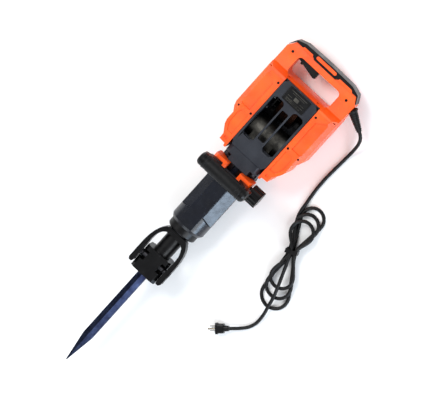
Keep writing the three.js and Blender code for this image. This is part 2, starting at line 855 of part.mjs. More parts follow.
function clampKnob() {
  const rim = Array.from({ length: KNOB_LOBES * 4 }, (_, i) => {
    const a = (i * 2 * Math.PI) / (KNOB_LOBES * 4);
    const r = 24.6 + 1.1 * Math.cos(a * KNOB_LOBES);
    return [CLAMP_Y + r * Math.cos(a), CLAMP_BOLT_Z + r * Math.sin(a)];
  });
  return cut(
    join(plateX(rim, 69, 103), turnedX(rod(13, 63.4, 70), CLAMP_Y, CLAMP_BOLT_Z)),
    turnedX(rod(4 + GAP, 60, 93), CLAMP_Y, CLAMP_BOLT_Z, 20),
  );
}

const CLAMP_CENTRE = [0, CLAMP_Y, 0];
piece("clamp_ring", clampRing(), BLACK, CLAMP_CENTRE);
piece("clamp_block_right", clampBlock(), ORANGE, CLAMP_CENTRE);
piece("clamp_block_left", clampBlock().mirror([1, 0, 0]), ORANGE, CLAMP_CENTRE);
piece("side_handle_frame", sideHandleFrame(), BLACK, CLAMP_CENTRE);
const gripProfile = ring(9 + GAP, GRIP_RADIUS, -GRIP_HALF, GRIP_HALF);
piece("side_grip", turnedX(gripProfile, CLAMP_Y, GRIP_Z), RUBBER, CLAMP_CENTRE);
piece("clamp_bolt", clampBolt(), STEEL, [0, CLAMP_Y, CLAMP_BOLT_Z]);
piece("clamp_knob", clampKnob(), BLACK, [0, CLAMP_Y, CLAMP_BOLT_Z]);

// ---- cord, in the floor's frame ---------------------------------------------------------------------
const RELIEF_START = new THREE.Vector3(112, 482, 64);
const RELIEF_END = new THREE.Vector3(169, 446, 50);

/** The cord from the strain relief to where it joins the hank. */
const LEAD = [
  [169, 446, 50],
  [177, 440.8, 47.9],
  [183.8, 431.8, 43],
  [187.2, 419.5, 35],
  [188, 406, 25.5],
  [187.5, 392, 16],
  [186.5, 376.5, 8.4],
  [185.5, 360, 5],
  [184.5, 342, 4.75],
  [183, 319, 4.75],
  [182, 295, 4.75],
  [182, 271, 4.75],
  [183.2, 249, 4.75],
  [187.5, 230, 4.75],
  [190, 198, 4.75],
];
/** The cord from the hank's lower end to the plug. */
const TAIL = [
  [299, -79.5, 12.2],
  [301, -90, 10.2],
  [303, -100, 8.4],
  [303.5, -115, 5.6],
  [300, -131, 4.9],
  [292, -146, 6],
  [281, -158.6, 8.8],
  [269.6, -169.4, 11.4],
  [261, -177.5, 12],
];
const PLUG_TURN = Math.atan2(-8, -8.5);
const PLUG_START = new THREE.Vector3(260.8, -177.7, 12);

/** A round-sided tube along points, with one step for each stretch between them. */
function cordTube(points) {
  const curve = new THREE.CatmullRomCurve3(points.map((p) => new THREE.Vector3(...p)));
  const section = new THREE.Shape();
  for (let i = 0; i < 10; i += 1) {
    const a = (i * Math.PI) / 5;
    const [x, y] = [(CORD / 2) * Math.cos(a), (CORD / 2) * Math.sin(a)];
    if (i === 0) section.moveTo(x, y);
    else section.lineTo(x, y);
  }
  const steps = Math.max(4, Math.round(curve.getLength() / (2.2 * CORD)));
  return solid(new THREE.ExtrudeGeometry(section, { steps, extrudePath: curve }));
}

// The hank's middle line, and how far it spreads to each side of it there.
const HANK_SPINE = [
  [229, 216, 10, 12],
  [229, 207, 22, 24],
  [229, 185, 43, 33.5],
  [232, 150, 38, 33],
  [238, 118, 24, 21],
  [246, 88, 15, 15],
  [256, 62, 22, 22],
  [268, 32, 33, 36],
  [280, -2, 41, 41],
  [290, -34, 41, 41],
];
const HANK_TOP = 33;
const HANK_END_RADIUS = 41;
const TIE_AT = new THREE.Vector2(246, 88);
const TIE_TURN = Math.atan2(-26, 10) + Math.PI / 2;
const TIE_HALF = 6;
const TIE_THICK = 2;

/** The outline of the hank: two round-ended lobes with a waist under the tie. */
function hankOutline() {
  const left = [];
  const right = [];
  HANK_SPINE.forEach(([x, y, leftHalf, rightHalf], i) => {
    const before = HANK_SPINE[Math.max(0, i - 1)];
    const after = HANK_SPINE[Math.min(HANK_SPINE.length - 1, i + 1)];
    const length = Math.hypot(after[0] - before[0], after[1] - before[1]);
    const across = [-(after[1] - before[1]) / length, (after[0] - before[0]) / length];
    left.push([x - across[0] * leftHalf, y - across[1] * leftHalf]);
    right.unshift([x + across[0] * rightHalf, y + across[1] * rightHalf]);
  });
  const [x, y] = HANK_SPINE[HANK_SPINE.length - 1];
  const end = [-45, -90, -135].map((degrees) => {
    const a = ((degrees + 14) * Math.PI) / 180;
    return [x + HANK_END_RADIUS * Math.cos(a), y + HANK_END_RADIUS * Math.sin(a)];
  });
  return [...left, ...end.reverse(), ...right];
}

const WAIST_HALF = 14.5;

/** A block across the hank's waist, in line with the tie. */
function waistBlock(halfWidth, halfLength, low, high) {
  const block = new THREE.BoxGeometry(2 * halfWidth, 2 * halfLength, high - low);
  return solid(block.rotateZ(TIE_TURN).translate(TIE_AT.x, TIE_AT.y, (low + high) / 2));
}

function cordHank() {
  const inner = TIE_THICK + GAP;
  const slice = waistBlock(45, TIE_HALF + GAP, -5, HANK_TOP + 5);
  const core = waistBlock(WAIST_HALF, TIE_HALF + 2, inner, HANK_TOP - inner);
  return join(cut(plateZ(hankOutline(), 0, HANK_TOP), slice), core);
}

function cordTie() {
  const hole = waistBlock(WAIST_HALF + GAP, TIE_HALF + 2, TIE_THICK, HANK_TOP - TIE_THICK);
  return cut(waistBlock(WAIST_HALF + GAP + TIE_THICK, TIE_HALF, 0, HANK_TOP), hole);
}

function strainRelief() {
  const along = RELIEF_END.clone().sub(RELIEF_START);
  const length = along.length();
  const profile = [
    [0, 0],
    [14.5, 0],
    [14.5, 9],
    [12.5, 11],
    [7.5, length - 1],
    [0, length - 1],
  ].map(([r, y]) => new THREE.Vector2(r, y));
  const g = new THREE.LatheGeometry(profile, 24);
  const turn = new THREE.Quaternion().setFromUnitVectors(new THREE.Vector3(0, 1, 0), along.normalize());
  g.applyQuaternion(turn).translate(RELIEF_START.x, RELIEF_START.y, RELIEF_START.z);
  return cut(solid(g), box(90, HALF_WIDTH + GAP, 440, 520, 20, 100));
}

/** Places a solid drawn along +X from the plug's cord end. */
function onPlug(shape) {
  const degrees = (PLUG_TURN * 180) / Math.PI;
  return shape.rotate([0, 0, degrees]).translate(PLUG_START.x, PLUG_START.y, PLUG_START.z);
}

function plugBody() {
  const rear = turnedX(
    [
      [0, 1],
      [7, 1],
      [8.5, 16],
      [0, 16],
    ],
    0,
    0,
    20,
  );
  const head = plateX(rounded(-12.5, -11.5, 12.5, 11.5, 6), 15, 32);
  const flange = plateX(rounded(-15, -12, 15, 12, 6), 31.5, 37);
  return onPlug(join(rear, head, flange));
}

function prong(y, z, round) {
  const pin = turnedX(rod(2.4, 37.3, 57), y, z, 12);
  const shape = round ? pin : box(37.3, 53, y - 0.8, y + 0.8, z - 3.2, z + 3.2);
  return onPlug(shape);
}

piece("strain_relief", strainRelief(), RUBBER, [0, 0, 0], jackhammer);
piece("cord_lead", cordTube(LEAD), RUBBER, [0, 0, 0], jackhammer);
piece("cord_hank", cordHank(), RUBBER, [0, 0, 0], jackhammer);
piece("cord_tie", cordTie(), BLACK, [0, 0, 0], jackhammer);
piece("cord_tail", cordTube(TAIL), RUBBER, [0, 0, 0], jackhammer);
piece("plug_body", plugBody(), BLACK, [0, 0, 0], jackhammer);
piece("plug_blade_left", prong(-6.3, -3, false), BRASS, [0, 0, 0], jackhammer);
piece("plug_blade_right", prong(6.3, -3, false), BRASS, [0, 0, 0], jackhammer);
piece("plug_earth_pin", prong(0, 7, true), BRASS, [0, 0, 0], jackhammer);

export default jackhammer;
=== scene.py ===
"""A demolition hammer lying on its back, its cord gathered into a hank beside it."""

import json
import math

import bmesh
import bpy
import numpy as np
from mathutils import Matrix, Vector


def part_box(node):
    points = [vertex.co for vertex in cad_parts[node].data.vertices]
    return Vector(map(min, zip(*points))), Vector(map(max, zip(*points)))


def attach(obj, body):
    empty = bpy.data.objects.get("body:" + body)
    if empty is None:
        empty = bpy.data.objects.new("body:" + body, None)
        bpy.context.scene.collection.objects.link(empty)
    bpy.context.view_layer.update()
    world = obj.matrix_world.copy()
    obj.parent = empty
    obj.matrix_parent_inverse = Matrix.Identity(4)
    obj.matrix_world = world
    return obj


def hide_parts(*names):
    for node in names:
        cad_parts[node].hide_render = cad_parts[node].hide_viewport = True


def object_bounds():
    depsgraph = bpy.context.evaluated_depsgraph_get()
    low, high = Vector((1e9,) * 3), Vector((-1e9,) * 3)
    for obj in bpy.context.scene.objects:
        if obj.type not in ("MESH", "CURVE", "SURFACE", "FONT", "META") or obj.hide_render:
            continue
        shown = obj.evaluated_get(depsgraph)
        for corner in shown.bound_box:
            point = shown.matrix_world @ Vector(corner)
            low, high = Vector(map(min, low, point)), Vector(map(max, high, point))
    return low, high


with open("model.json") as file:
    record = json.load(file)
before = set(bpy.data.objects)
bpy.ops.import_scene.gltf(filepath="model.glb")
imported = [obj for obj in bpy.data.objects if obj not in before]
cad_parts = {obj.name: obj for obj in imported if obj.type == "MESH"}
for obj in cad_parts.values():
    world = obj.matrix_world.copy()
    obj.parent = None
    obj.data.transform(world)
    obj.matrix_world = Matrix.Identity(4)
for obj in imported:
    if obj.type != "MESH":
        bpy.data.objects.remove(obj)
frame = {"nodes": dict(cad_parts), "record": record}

NODES = frame["nodes"]
CAD_BOX = [list(corner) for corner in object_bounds()]
SLOT_OF = {part["node"]: part["material_slot"] for part in frame["record"]["subparts"]}
BODY_OF = {node: body for body, nodes in frame["record"]["behaviour"]["bodies"].items() for node in nodes}
MM = 0.001
X, Y, Z = range(3)
WELD = 0.02 * MM  # vertices closer than this are one corner


def extent(name):
    """A node's lowest and highest corners at rest, in millimetres."""
    return [np.array(corner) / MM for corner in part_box(name)]


# ---- materials -----------------------------------------------------------------------------------
def rgb(r, g, b):
    """A shader colour from 0-255 screen values."""
    return tuple(((c / 255 + 0.055) / 1.055) ** 2.4 if c > 10 else c / 255 / 12.92 for c in (r, g, b)) + (1,)


class Finish:
    """A procedural material: colour and roughness drift over the surface, and fine grain raises it."""

    def __init__(self, name, metallic=0.0, coat=0.0, specular=0.5):
        self.material = bpy.data.materials.new(name)
        self.material.use_nodes = True
        self.tree = self.material.node_tree
        self.shader = self.tree.nodes["Principled BSDF"]
        self.shader.inputs["Metallic"].default_value = metallic
        self.shader.inputs["Specular IOR Level"].default_value = specular
        self.shader.inputs["Coat Weight"].default_value = coat
        self.shader.inputs["Coat Roughness"].default_value = 0.12
        self.place = self.tree.nodes.new("ShaderNodeTexCoord").outputs["Object"]
        self.height = None

    def link(self, start, end):
        self.tree.links.new(start, end)

    def noise(self, scale, detail=3.0, stretch=None, rough=0.55):
        """Noise with that many features per metre; stretch scales each axis."""
        node = self.tree.nodes.new("ShaderNodeTexNoise")
        node.inputs["Scale"].default_value = scale
        node.inputs["Detail"].default_value = detail
        node.inputs["Roughness"].default_value = rough
        source = self.place
        if stretch:
            mapping = self.tree.nodes.new("ShaderNodeMapping")
            mapping.inputs["Scale"].default_value = stretch
            self.link(self.place, mapping.inputs["Vector"])
            source = mapping.outputs["Vector"]
        self.link(source, node.inputs["Vector"])
        return node.outputs["Fac"]

    def cells(self, scale):
        """Round cells, that many per metre: their distance field."""
        node = self.tree.nodes.new("ShaderNodeTexVoronoi")
        node.inputs["Scale"].default_value = scale
        self.link(self.place, node.inputs["Vector"])
        return node.outputs["Distance"]

    def ramp(self, value, stops):
        """A colour or grey read from a value; stops are (position, colour)."""
        node = self.tree.nodes.new("ShaderNodeValToRGB")
        edge = node.color_ramp.elements
        while len(edge) < len(stops):
            edge.new(0.5)
        for element, (position, colour) in zip(edge, stops):
            element.position = position
            element.color = colour if isinstance(colour, tuple) else (colour, colour, colour, 1)
        self.link(value, node.inputs["Fac"])
        return node.outputs["Color"]

    def mix(self, factor, low, high):
        """One colour over another; low and high are colours or outputs."""
        node = self.tree.nodes.new("ShaderNodeMix")
        node.data_type = "RGBA"
        self.link(factor, node.inputs["Factor"])
        for socket, value in ((node.inputs[6], low), (node.inputs[7], high)):
            if isinstance(value, tuple):
                socket.default_value = value
            else:
                self.link(value, socket)
        return node.outputs[2]

    def colour(self, value):
        self.link(value, self.shader.inputs["Base Color"])

    def roughness(self, value):
        self.link(value, self.shader.inputs["Roughness"])

    def bump(self, value, depth, strength=1.0):
        """Raises the surface by value times depth, in metres, over what is there already."""
        node = self.tree.nodes.new("ShaderNodeBump")
        node.inputs["Strength"].default_value = strength
        node.inputs["Distance"].default_value = depth
        self.link(value, node.inputs["Height"])
        if self.height:
            self.link(self.height, node.inputs["Normal"])
        self.height = node.outputs["Normal"]
        self.link(self.height, self.shader.inputs["Normal"])


SPARK_DEPTH = 0.12 * MM


def moulded(name, colour, dark, rough, grain=1400, coat=0.0, worn=None, specular=0.5):
    """Moulded plastic: fine spark texture, slow colour drift, and rubbed or dusty patches."""
    f = Finish(name, coat=coat, specular=specular)
    drift = f.ramp(f.noise(14, 4), [(0.35, dark), (0.65, colour)])
    rubbed = f.ramp(f.noise(75, 6, rough=0.7), [(0.6, 0.0), (0.74, 1.0)])
    f.colour(f.mix(rubbed, drift, worn or colour))
    low, high = rough
    f.roughness(f.ramp(f.noise(45, 5), [(0.3, low), (0.7, high)]))
    f.bump(f.noise(grain, 2), SPARK_DEPTH)
    f.bump(f.cells(grain * 0.55), SPARK_DEPTH * 0.5, 0.5)
    return f.material


def painted(name, colour, dark, rough, specular):
    """Textured paint over cast metal: a soft orange-peel skin with small chips and dust."""
    f = Finish(name, specular=specular)
    drift = f.ramp(f.noise(11, 4), [(0.3, dark), (0.7, colour)])
    scuffs = f.ramp(f.noise(260, 3, stretch=(1, 0.25, 1)), [(0.66, 0.0), (0.72, 1.0)])
    f.colour(f.mix(scuffs, drift, tuple(min(1, 1.8 * c + 0.004) for c in colour[:3]) + (1,)))
    low, high = rough
    f.roughness(f.ramp(f.noise(60, 5), [(0.3, low), (0.7, high)]))
    f.bump(f.noise(420, 3), 0.07 * MM)
    f.bump(f.noise(1800, 2), 0.03 * MM, 0.6)
    return f.material


def metal(name, colour, dark, rough, lines=(6, 1, 6), scale=900, pits=0.0):
    """Turned, ground or forged metal: fine lines across it, tarnish and, if asked, pits."""
    f = Finish(name, metallic=1.0)
    tarnish = f.ramp(f.noise(38, 6, rough=0.65), [(0.35, dark), (0.62, colour)])
    streak = f.ramp(f.noise(scale * 0.6, 2, stretch=lines), [(0.35, 0.0), (0.65, 0.35)])
    f.colour(f.mix(streak, tarnish, dark))
    low, high = rough
    f.roughness(f.ramp(f.noise(scale * 0.3, 4, stretch=lines), [(0.3, low), (0.7, high)]))
    f.bump(f.noise(scale, 2, stretch=lines), 0.05 * MM, 0.6)
    if pits:
        f.bump(f.noise(150, 6, rough=0.7), pits)
    return f.material


def rubber(name, colour, dark, rough, dust):
    """Soft black rubber: matt skin, faint bloom and a fine crepe."""
    f = Finish(name, specular=0.25)
    drift = f.ramp(f.noise(30, 5), [(0.35, dark), (0.65, colour)])
    bloom = f.ramp(f.noise(120, 6, rough=0.75), [(0.62, 0.0), (0.8, 0.5)])
    f.colour(f.mix(bloom, drift, dust))
    low, high = rough
    f.roughness(f.ramp(f.noise(90, 4), [(0.3, low), (0.7, high)]))
    f.bump(f.noise(1600, 3), 0.1 * MM)
    return f.material


def wound(name, colour, dark):
    """Enamelled wire: many thin turns beside one another."""
    f = Finish(name, metallic=1.0)
    wave = f.tree.nodes.new("ShaderNodeTexWave")
    wave.bands_direction = "X"
    wave.inputs["Scale"].default_value = 240
    wave.inputs["Distortion"].default_value = 1.5
    f.link(f.place, wave.inputs["Vector"])
    f.colour(f.ramp(wave.outputs["Fac"], [(0.2, dark), (0.7, colour)]))
    f.roughness(f.ramp(f.noise(200, 3), [(0.3, 0.25), (0.7, 0.45)]))
    f.bump(wave.outputs["Fac"], 0.25 * MM)
    return f.material


FINISHES = {
    "housing_orange": moulded(
        "housing_orange", rgb(250, 92, 8), rgb(236, 74, 5), (0.32, 0.48), worn=rgb(255, 110, 30), coat=0.1
    ),
    "case_grey": moulded(
        "case_grey", rgb(42, 45, 52), rgb(30, 32, 39), (0.32, 0.5), worn=rgb(60, 62, 69), specular=0.28
    ),
    "trim_black": moulded(
        "trim_black", rgb(10, 10, 12), rgb(5, 5, 6), (0.26, 0.46), worn=rgb(22, 22, 24), specular=0.22
    ),
    "soft_rubber": rubber("soft_rubber", rgb(9, 9, 10), rgb(4, 4, 5), (0.36, 0.58), dust=rgb(34, 34, 35)),
    "barrel_paint": painted("barrel_paint", rgb(13, 19, 32), rgb(6, 9, 18), (0.18, 0.32), specular=0.4),
    "holder_black": painted("holder_black", rgb(9, 9, 11), rgb(4, 4, 5), (0.26, 0.42), specular=0.22),
    "casting": metal("casting", rgb(112, 110, 104), rgb(58, 57, 55), (0.26, 0.44), pits=0.25 * MM),
    "machined_steel": metal("machined_steel", rgb(196, 198, 202), rgb(140, 142, 148), (0.16, 0.34)),
    "blackened_steel": metal("blackened_steel", rgb(74, 74, 78), rgb(38, 38, 42), (0.28, 0.46)),
    "chisel_steel": metal(
        "chisel_steel",
        rgb(48, 56, 80),
        rgb(22, 25, 42),
        (0.24, 0.42),
        lines=(1, 8, 1),
        scale=500,
        pits=0.3 * MM,
    ),
    # The windings' near-black brown is dark enamel and also painted shade: it is kept this dark so the
    # windows into the housing read black.
    "windings": wound("windings", rgb(46, 26, 18), rgb(15, 9, 7)),
    "carbon": moulded("carbon", rgb(34, 34, 36), rgb(18, 18, 20), (0.4, 0.6), grain=2600),
    "plug_brass": metal("plug_brass", rgb(168, 160, 146), rgb(112, 102, 86), (0.2, 0.38)),
}

SHARP = math.radians(28)  # edges steeper than this stay edges
# Width of the rounded edge on each CAD node, in millimetres; the rest get EDGE.
EDGE = 0.7
EDGES = {
    "right_cover": 2.2,
    "left_cover": 2.2,
    "handle_front_shell": 2.0,
    "handle_back_shell": 2.0,
    "handle_guard": 3.0,
    "front_panel": 1.6,
    "back_panel": 1.6,
    "clamp_block_left": 4.0,
    "clamp_block_right": 4.0,
    "tool_holder": 1.6,
    "retainer_bail": 1.6,
    "barrel": 1.2,
    "neck": 1.2,
    "clamp_knob": 1.2,
    "nameplate": 0.4,
    "idler_gear": 0.0,
    "crank_gear": 0.0,
    "armature": 0.0,
}


def smoothing():
    """A modifier's node group: joins the faces' corners, and shades curved surfaces smooth up to SHARP."""
    group = bpy.data.node_groups.new("smoothing", "GeometryNodeTree")
    group.interface.new_socket("Geometry", in_out="INPUT", socket_type="NodeSocketGeometry")
    group.interface.new_socket("Geometry", in_out="OUTPUT", socket_type="NodeSocketGeometry")
    add = group.nodes.new
    join = add("GeometryNodeMergeByDistance")
    join.inputs["Distance"].default_value = WELD
    faces = add("GeometryNodeSetShadeSmooth")
    edges = add("GeometryNodeSetShadeSmooth")
    edges.domain = "EDGE"
    edges.inputs["Shade Smooth"].default_value = False
    steep = add("FunctionNodeCompare")
    steep.operation = "GREATER_THAN"
    steep.inputs["B"].default_value = SHARP
    chain = [add("NodeGroupInput"), join, faces, edges, add("NodeGroupOutput")]
    for start, end in zip(chain, chain[1:]):
        group.links.new(start.outputs["Geometry"], end.inputs["Geometry"])
    group.links.new(add("GeometryNodeInputMeshEdgeAngle").outputs["Unsigned Angle"], steep.inputs["A"])
    group.links.new(steep.outputs["Result"], edges.inputs["Selection"])
    return group


SMOOTHING = smoothing()


def soften(obj, width):
    """Rounds the sharp edges of a mesh without touching the mesh itself."""
    obj.modifiers.new("smooth", "NODES").node_group = SMOOTHING
    if width:
        bevel = obj.modifiers.new("edge", "BEVEL")
        bevel.width = width * MM
        bevel.segments = 2
        bevel.limit_method = "ANGLE"
        bevel.angle_limit = SHARP
        bevel.harden_normals = True
        bevel.use_clamp_overlap = True


for name, node in NODES.items():
    node.data.materials.clear()
    node.data.materials.append(FINISHES[SLOT_OF[name]])
    soften(node, EDGES.get(name, EDGE))

# ---- camera, floor and light ---------------------------------------------------------------------
AIM = Vector((0.0285, 0.0571, 0.062))
FROM = Vector((math.tan(math.radians(5)), math.tan(math.radians(12)), 1)).normalized()
UP = Vector((-0.6698, 0.7426, 0))
DISTANCE = 9.54
LENS = 300
SENSOR = 36
FAR = 50


def looking(start, target, up):
    """The matrix of a camera or light at start that faces target, with up towards the top."""
    back = (start - target).normalized()
    right = up.cross(back).normalized()
    turn = Matrix((right, back.cross(right), back)).transposed()
    return Matrix.Translation(start) @ turn.to_4x4()


camera = bpy.data.objects.new("camera", bpy.data.cameras.new("camera"))
camera.data.lens = LENS
camera.data.sensor_width = SENSOR
camera.data.clip_end = FAR
camera.matrix_world = looking(AIM + FROM * DISTANCE, AIM, UP)
bpy.context.collection.objects.link(camera)
bpy.context.scene.camera = camera


CENTRE = Vector((0.05, 0.05, 0.05))
DAYLIGHT = 0.5


def area_light(name, start, size, power, tint=(1, 1, 1)):
    """A round soft light that faces CENTRE."""
    light = bpy.data.objects.new(name, bpy.data.lights.new(name, "AREA"))
    light.data.shape = "DISK"
    light.data.size = size
    light.data.energy = power
    light.data.color = tint
    light.matrix_world = looking(Vector(start), CENTRE, Vector((0.1, 1, 0)))
    bpy.context.collection.objects.link(light)


area_light("key", (-1.9, 0.9, 2.7), 2.0, 100)
area_light("fill", (2.3, -0.5, 1.9), 2.2, 60, (0.9, 0.95, 1))
area_light("low", (0.4, -2.4, 1.0), 1.6, 14, (0.85, 0.93, 1))
area_light("side", (2.8, -0.6, 0.9), 1.1, 34, (0.6, 0.78, 1))

world = bpy.data.worlds.new("studio")
world.use_nodes = True
world.node_tree.nodes["Background"].inputs["Color"].default_value = (1, 1, 1, 1)
world.node_tree.nodes["Background"].inputs["Strength"].default_value = DAYLIGHT
bpy.context.scene.world = world
bpy.context.scene.view_settings.view_transform = "Standard"


def mesh_object(name, verts, faces, material):
    mesh = bpy.data.meshes.new(name)
    mesh.from_pydata([tuple(v) for v in verts], [], faces)
    mesh.materials.append(material)
    obj = bpy.data.objects.new(name, mesh)
    bpy.context.collection.objects.link(obj)
    return obj


def paper():
    f = Finish("paper", specular=0.1)
    f.colour(f.ramp(f.noise(6, 3), [(0.3, rgb(246, 246, 246)), (0.7, rgb(250, 250, 250))]))
    f.roughness(f.ramp(f.noise(40, 3), [(0.3, 0.9), (0.7, 1.0)]))
    return f.material


FLOOR = 6.0
FLOOR_CORNERS = [(-FLOOR, -FLOOR, 0), (FLOOR, -FLOOR, 0), (FLOOR, FLOOR, 0), (-FLOOR, FLOOR, 0)]
floor = mesh_object("floor", FLOOR_CORNERS, [(0, 1, 2, 3)], paper())
floor.location.z = CAD_BOX[0][2]

# ---- cord ----------------------------------------------------------------------------------------
# All in millimetres until the curve is made.
CORD = 9.5
LOW = CORD / 2
LEAD = [
    (169, 446, 50),
    (177, 440.8, 47.9),
    (183.8, 431.8, 43),
    (187.2, 419.5, 35),
    (188, 406, 25.5),
    (187.5, 392, 16),
    (186.5, 376.5, 8.4),
    (185.5, 360, 5),
    (184.5, 342, LOW),
    (183, 319, LOW),
    (182, 295, LOW),
    (182, 271, LOW),
    (183, 249, LOW),
    (185, 229, LOW),
    (187.5, 211, LOW),
]
TAIL = [
    (303, -100, 8.5),
    (303.5, -115, 5.6),
    (300, -131, 4.9),
    (292, -146, 6),
    (281, -158.6, 8.8),
    (269.6, -169.4, 11.4),
    (261, -177.5, 12),
]
# The hank lies along this line. A place in it is (along, across), across to the right looking at +Y.
SPINE = [
    (229, 216),
    (229, 185),
    (232, 150),
    (238, 118),
    (246, 88),
    (256, 62),
    (268, 32),
    (280, -2),
    (290, -34),
    (296, -64),
]
TIE_ALONG = 130
WAIST = (TIE_ALONG - 11, TIE_ALONG + 11)  # the runs lie side by side between these
WAIST_LIFT = 2.3  # the tie passes under them
COLUMNS = (-CORD, 0, CORD)
# Each loop's folds: (top radius, top along, bottom radius, bottom along, height of their middles).
FOLDS = [(31, 0, 37.5, 292, LOW), (31, 21, 34, 262, 9), (31, 42, 31, 233, 18)]
TOP_LIFT = 3.5  # how far a run climbs on its way to the next layer
# Where the last run goes, as the corners of hank_corners: (along, across, radius, height).
LAST_RUN = [(233, 1, 400, 27), (262, 1, 400, 20), (290, 0, 300, 14.4), (308, 2, 120, 11.5)]


def lengths(line):
    """How far along the line each of its points is."""
    return np.concatenate([[0], np.cumsum(np.linalg.norm(np.diff(line, axis=0), axis=1))])


def smooth_line(points, steps):
    """A centripetal Catmull-Rom curve through the points, with steps points in each span."""
    p = np.array(points, float)
    p = np.vstack([2 * p[0] - p[1], p, 2 * p[-1] - p[-2]])
    line = []
    for span in zip(p, p[1:], p[2:], p[3:]):
        gaps = [np.linalg.norm(b - a) ** 0.5 for a, b in zip(span, span[1:])]
        k = np.concatenate([[0], np.cumsum(gaps)])
        for i in range(steps):
            x = k[1] + (k[2] - k[1]) * i / steps

            def mixed(u, v, start, end):
                return ((end - x) * u + (x - start) * v) / (end - start)

            outer = [mixed(span[j], span[j + 1], k[j], k[j + 1]) for j in range(3)]
            inner = [mixed(outer[j], outer[j + 1], k[j], k[j + 2]) for j in range(2)]
            line.append(mixed(inner[0], inner[1], k[1], k[2]))
    return np.array(line + [p[-2]])


def filleted(corners, step):
    """Points along the corners with each one rounded, and (index, height) marks for its start and end.
    A corner is (along, across, radius, height) or (along, across, radius, height in, height out)."""
    points = [np.array(corners[0][:2], float)]
    marks = [(0, corners[0][3])]
    for before, here, after in zip(corners, corners[1:], corners[2:]):
        corner = np.array(here[:2], float)
        back = np.array(before[:2]) - corner
        ahead = np.array(after[:2]) - corner
        back /= np.linalg.norm(back)
        ahead /= np.linalg.norm(ahead)
        turn = math.pi - math.acos(float(np.clip(back @ ahead, -1, 1)))
        radius = here[2]
        cut = radius * math.tan(turn / 2)
        middle = (back + ahead) / np.linalg.norm(back + ahead)
        centre = corner + middle * math.hypot(radius, cut)
        arm = corner + back * cut - centre
        way = -1 if back[0] * ahead[1] - back[1] * ahead[0] > 0 else 1
        count = max(2, math.ceil(radius * turn / step))
        marks.append((len(points), here[3]))
        for i in range(count + 1):
            cos = math.cos(way * turn * i / count)
            sin = math.sin(way * turn * i / count)
            points.append(centre + (arm[0] * cos - arm[1] * sin, arm[0] * sin + arm[1] * cos))
        marks.append((len(points) - 1, here[-1]))
    points.append(np.array(corners[-1][:2], float))
    marks.append((len(points) - 1, corners[-1][3]))
    return np.array(points), marks


def reach(radius, span, column):
    """How far out a fold's corner is, if the run from it to its column leaves a half turn of that radius."""
    out = radius
    for _ in range(60):
        out = radius * math.tan((math.pi / 2 + math.atan((out - column) / span)) / 2)
    return out


def hank_corners():
    """Down the left, round the bottom, up the right, round the top, and again, a layer higher each time."""
    upper, lower = WAIST
    first, left, right = COLUMNS
    corners = [(8, -40, 100, LOW), (40, -38.3, 100, LOW)]
    corners += [(upper, first, 45, LOW + WAIST_LIFT), (lower, first, 45, LOW + WAIST_LIFT)]
    for turn, (top, top_at, bottom, bottom_at, middle) in enumerate(FOLDS):
        z = LOW + CORD * turn
        over = z + WAIST_LIFT
        out_left = reach(bottom, bottom_at - lower, -(first if turn == 0 else left))
        out_right = reach(bottom, bottom_at - lower, right)
        corners += [(bottom_at, -out_left, bottom, z, middle), (bottom_at, out_right, bottom, middle, z)]
        corners += [(lower, right, 38, over), (upper, right, 38, over)]
        out_left = reach(top, upper - top_at, -left)
        out_right = reach(top, upper - top_at, right)
        corners += [(top_at, out_right, top, z, middle), (top_at, -out_left, top, middle, z)]
        corners += [(upper, left, 38, over), (lower, left, 38, over + TOP_LIFT)]
    return corners + LAST_RUN


def hank_line():
    """The hank's turns as points on the floor's frame."""
    spine = smooth_line(SPINE, 12)
    along = lengths(spine)

    def on_spine(s):
        return np.array([np.interp(s, along, spine[:, k]) for k in range(2)])

    flat, marks = filleted(hank_corners(), 2.0)
    travelled = lengths(flat)
    keys = sorted({round(float(travelled[i]), 3): height for i, height in marks}.items())
    at = np.array([key for key, _ in keys])
    heights = np.array([height for _, height in keys])
    line = []
    for (s, across), done in zip(flat, travelled):
        near = min(max(s, 0), along[-1])
        course = on_spine(min(near + 4, along[-1])) - on_spine(max(near - 4, 0))
        course /= np.linalg.norm(course)
        x, y = on_spine(near) + course * (s - near) + np.array((-course[1], course[0])) * across
        i = min(max(int(np.searchsorted(at, done)) - 1, 0), len(at) - 2)
        f = min(max((done - at[i]) / (at[i + 1] - at[i]), 0), 1)
        line.append((x, y, heights[i] + (heights[i + 1] - heights[i]) * f * f * (3 - 2 * f)))
    return np.array(line)


def spaced(line, step):
    """The same line with its points evenly apart."""
    along = lengths(line)
    at = np.linspace(0, along[-1], math.ceil(along[-1] / step) + 1)
    return np.stack([np.interp(at, along, line[:, k]) for k in range(3)], axis=1)


ROUTE_STEP = 4
EASINGS = 6


def cord_route():
    """The whole cord, from the strain relief to the plug, with its small kinks eased out."""
    hank = hank_line()[2:-2]
    into = smooth_line([LEAD[-1], hank[0]], 4)[1:-1]
    out = smooth_line([hank[-1], TAIL[0]], 3)[1:-1]
    line = spaced(np.vstack([smooth_line(LEAD, 8), into, hank, out, smooth_line(TAIL, 8)]), ROUTE_STEP)
    for _ in range(EASINGS):
        line[1:-1] = (line[:-2] + 2 * line[1:-1] + line[2:]) / 4
    return line * MM


def open_curve(name, points, radius, material):
    curve = bpy.data.curves.new(name, "CURVE")
    curve.dimensions = "3D"
    curve.bevel_depth = radius
    curve.bevel_resolution = 5
    curve.use_fill_caps = True
    spline = curve.splines.new("POLY")
    spline.points.add(len(points) - 1)
    for target, point in zip(spline.points, points):
        target.co = (*point, 1)
    spline.use_smooth = True
    curve.materials.append(material)
    obj = bpy.data.objects.new(name, curve)
    bpy.context.collection.objects.link(obj)
    return obj


ROUTE = cord_route()
cord = open_curve("cord", ROUTE, CORD / 2 * MM, FINISHES["soft_rubber"])
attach(cord, "root")
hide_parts("cord_lead", "cord_hank", "cord_tail")

# ---- carved shells -------------------------------------------------------------------------------
AXIS = sum(corner[Z] for corner in extent("cylinder_liner")) / 2  # the hammer axis' height


